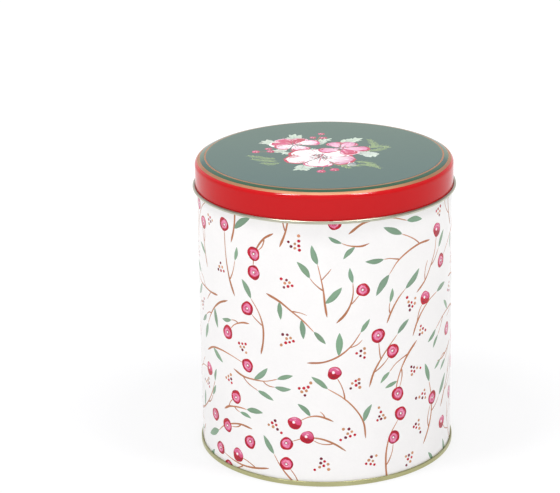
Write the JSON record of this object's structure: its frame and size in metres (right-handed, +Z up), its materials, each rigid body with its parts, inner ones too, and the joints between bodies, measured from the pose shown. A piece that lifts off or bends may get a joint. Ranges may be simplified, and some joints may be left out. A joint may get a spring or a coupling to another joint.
{
  "type": "round cookie tin with lift-off lid",
  "caption": "Round printed sheet-metal tin for cookies: seamed wall, double-seamed bottom and a lift-off lid with a curled rim.",
  "frame": {"origin": "centre of the foot, on the surface the tin stands on", "axes": "+Z up along the tin's axis, +Y towards the side seam at the back, +X to the right of the printed front"},
  "size_m": [0.134, 0.134, 0.1545],
  "materials": {
    "wall_print": "glossy white enamel with a printed sprig pattern",
    "lacquered_tin": "gold-lacquered tinplate",
    "lid_print": "glossy green enamel with a red skirt, gold lines and a printed bouquet"
  },
  "bodies": {
    "tin": {"body_wall": "wall_print", "base_plate": "lacquered_tin"},
    "lid": {"lid": "lid_print"}
  },
  "joints": [
    {"name": "lid_lift", "type": "slide", "parent": "tin", "child": "lid", "axis": [0, 0, 1], "range_m": [0, 0.15]}
  ]
}
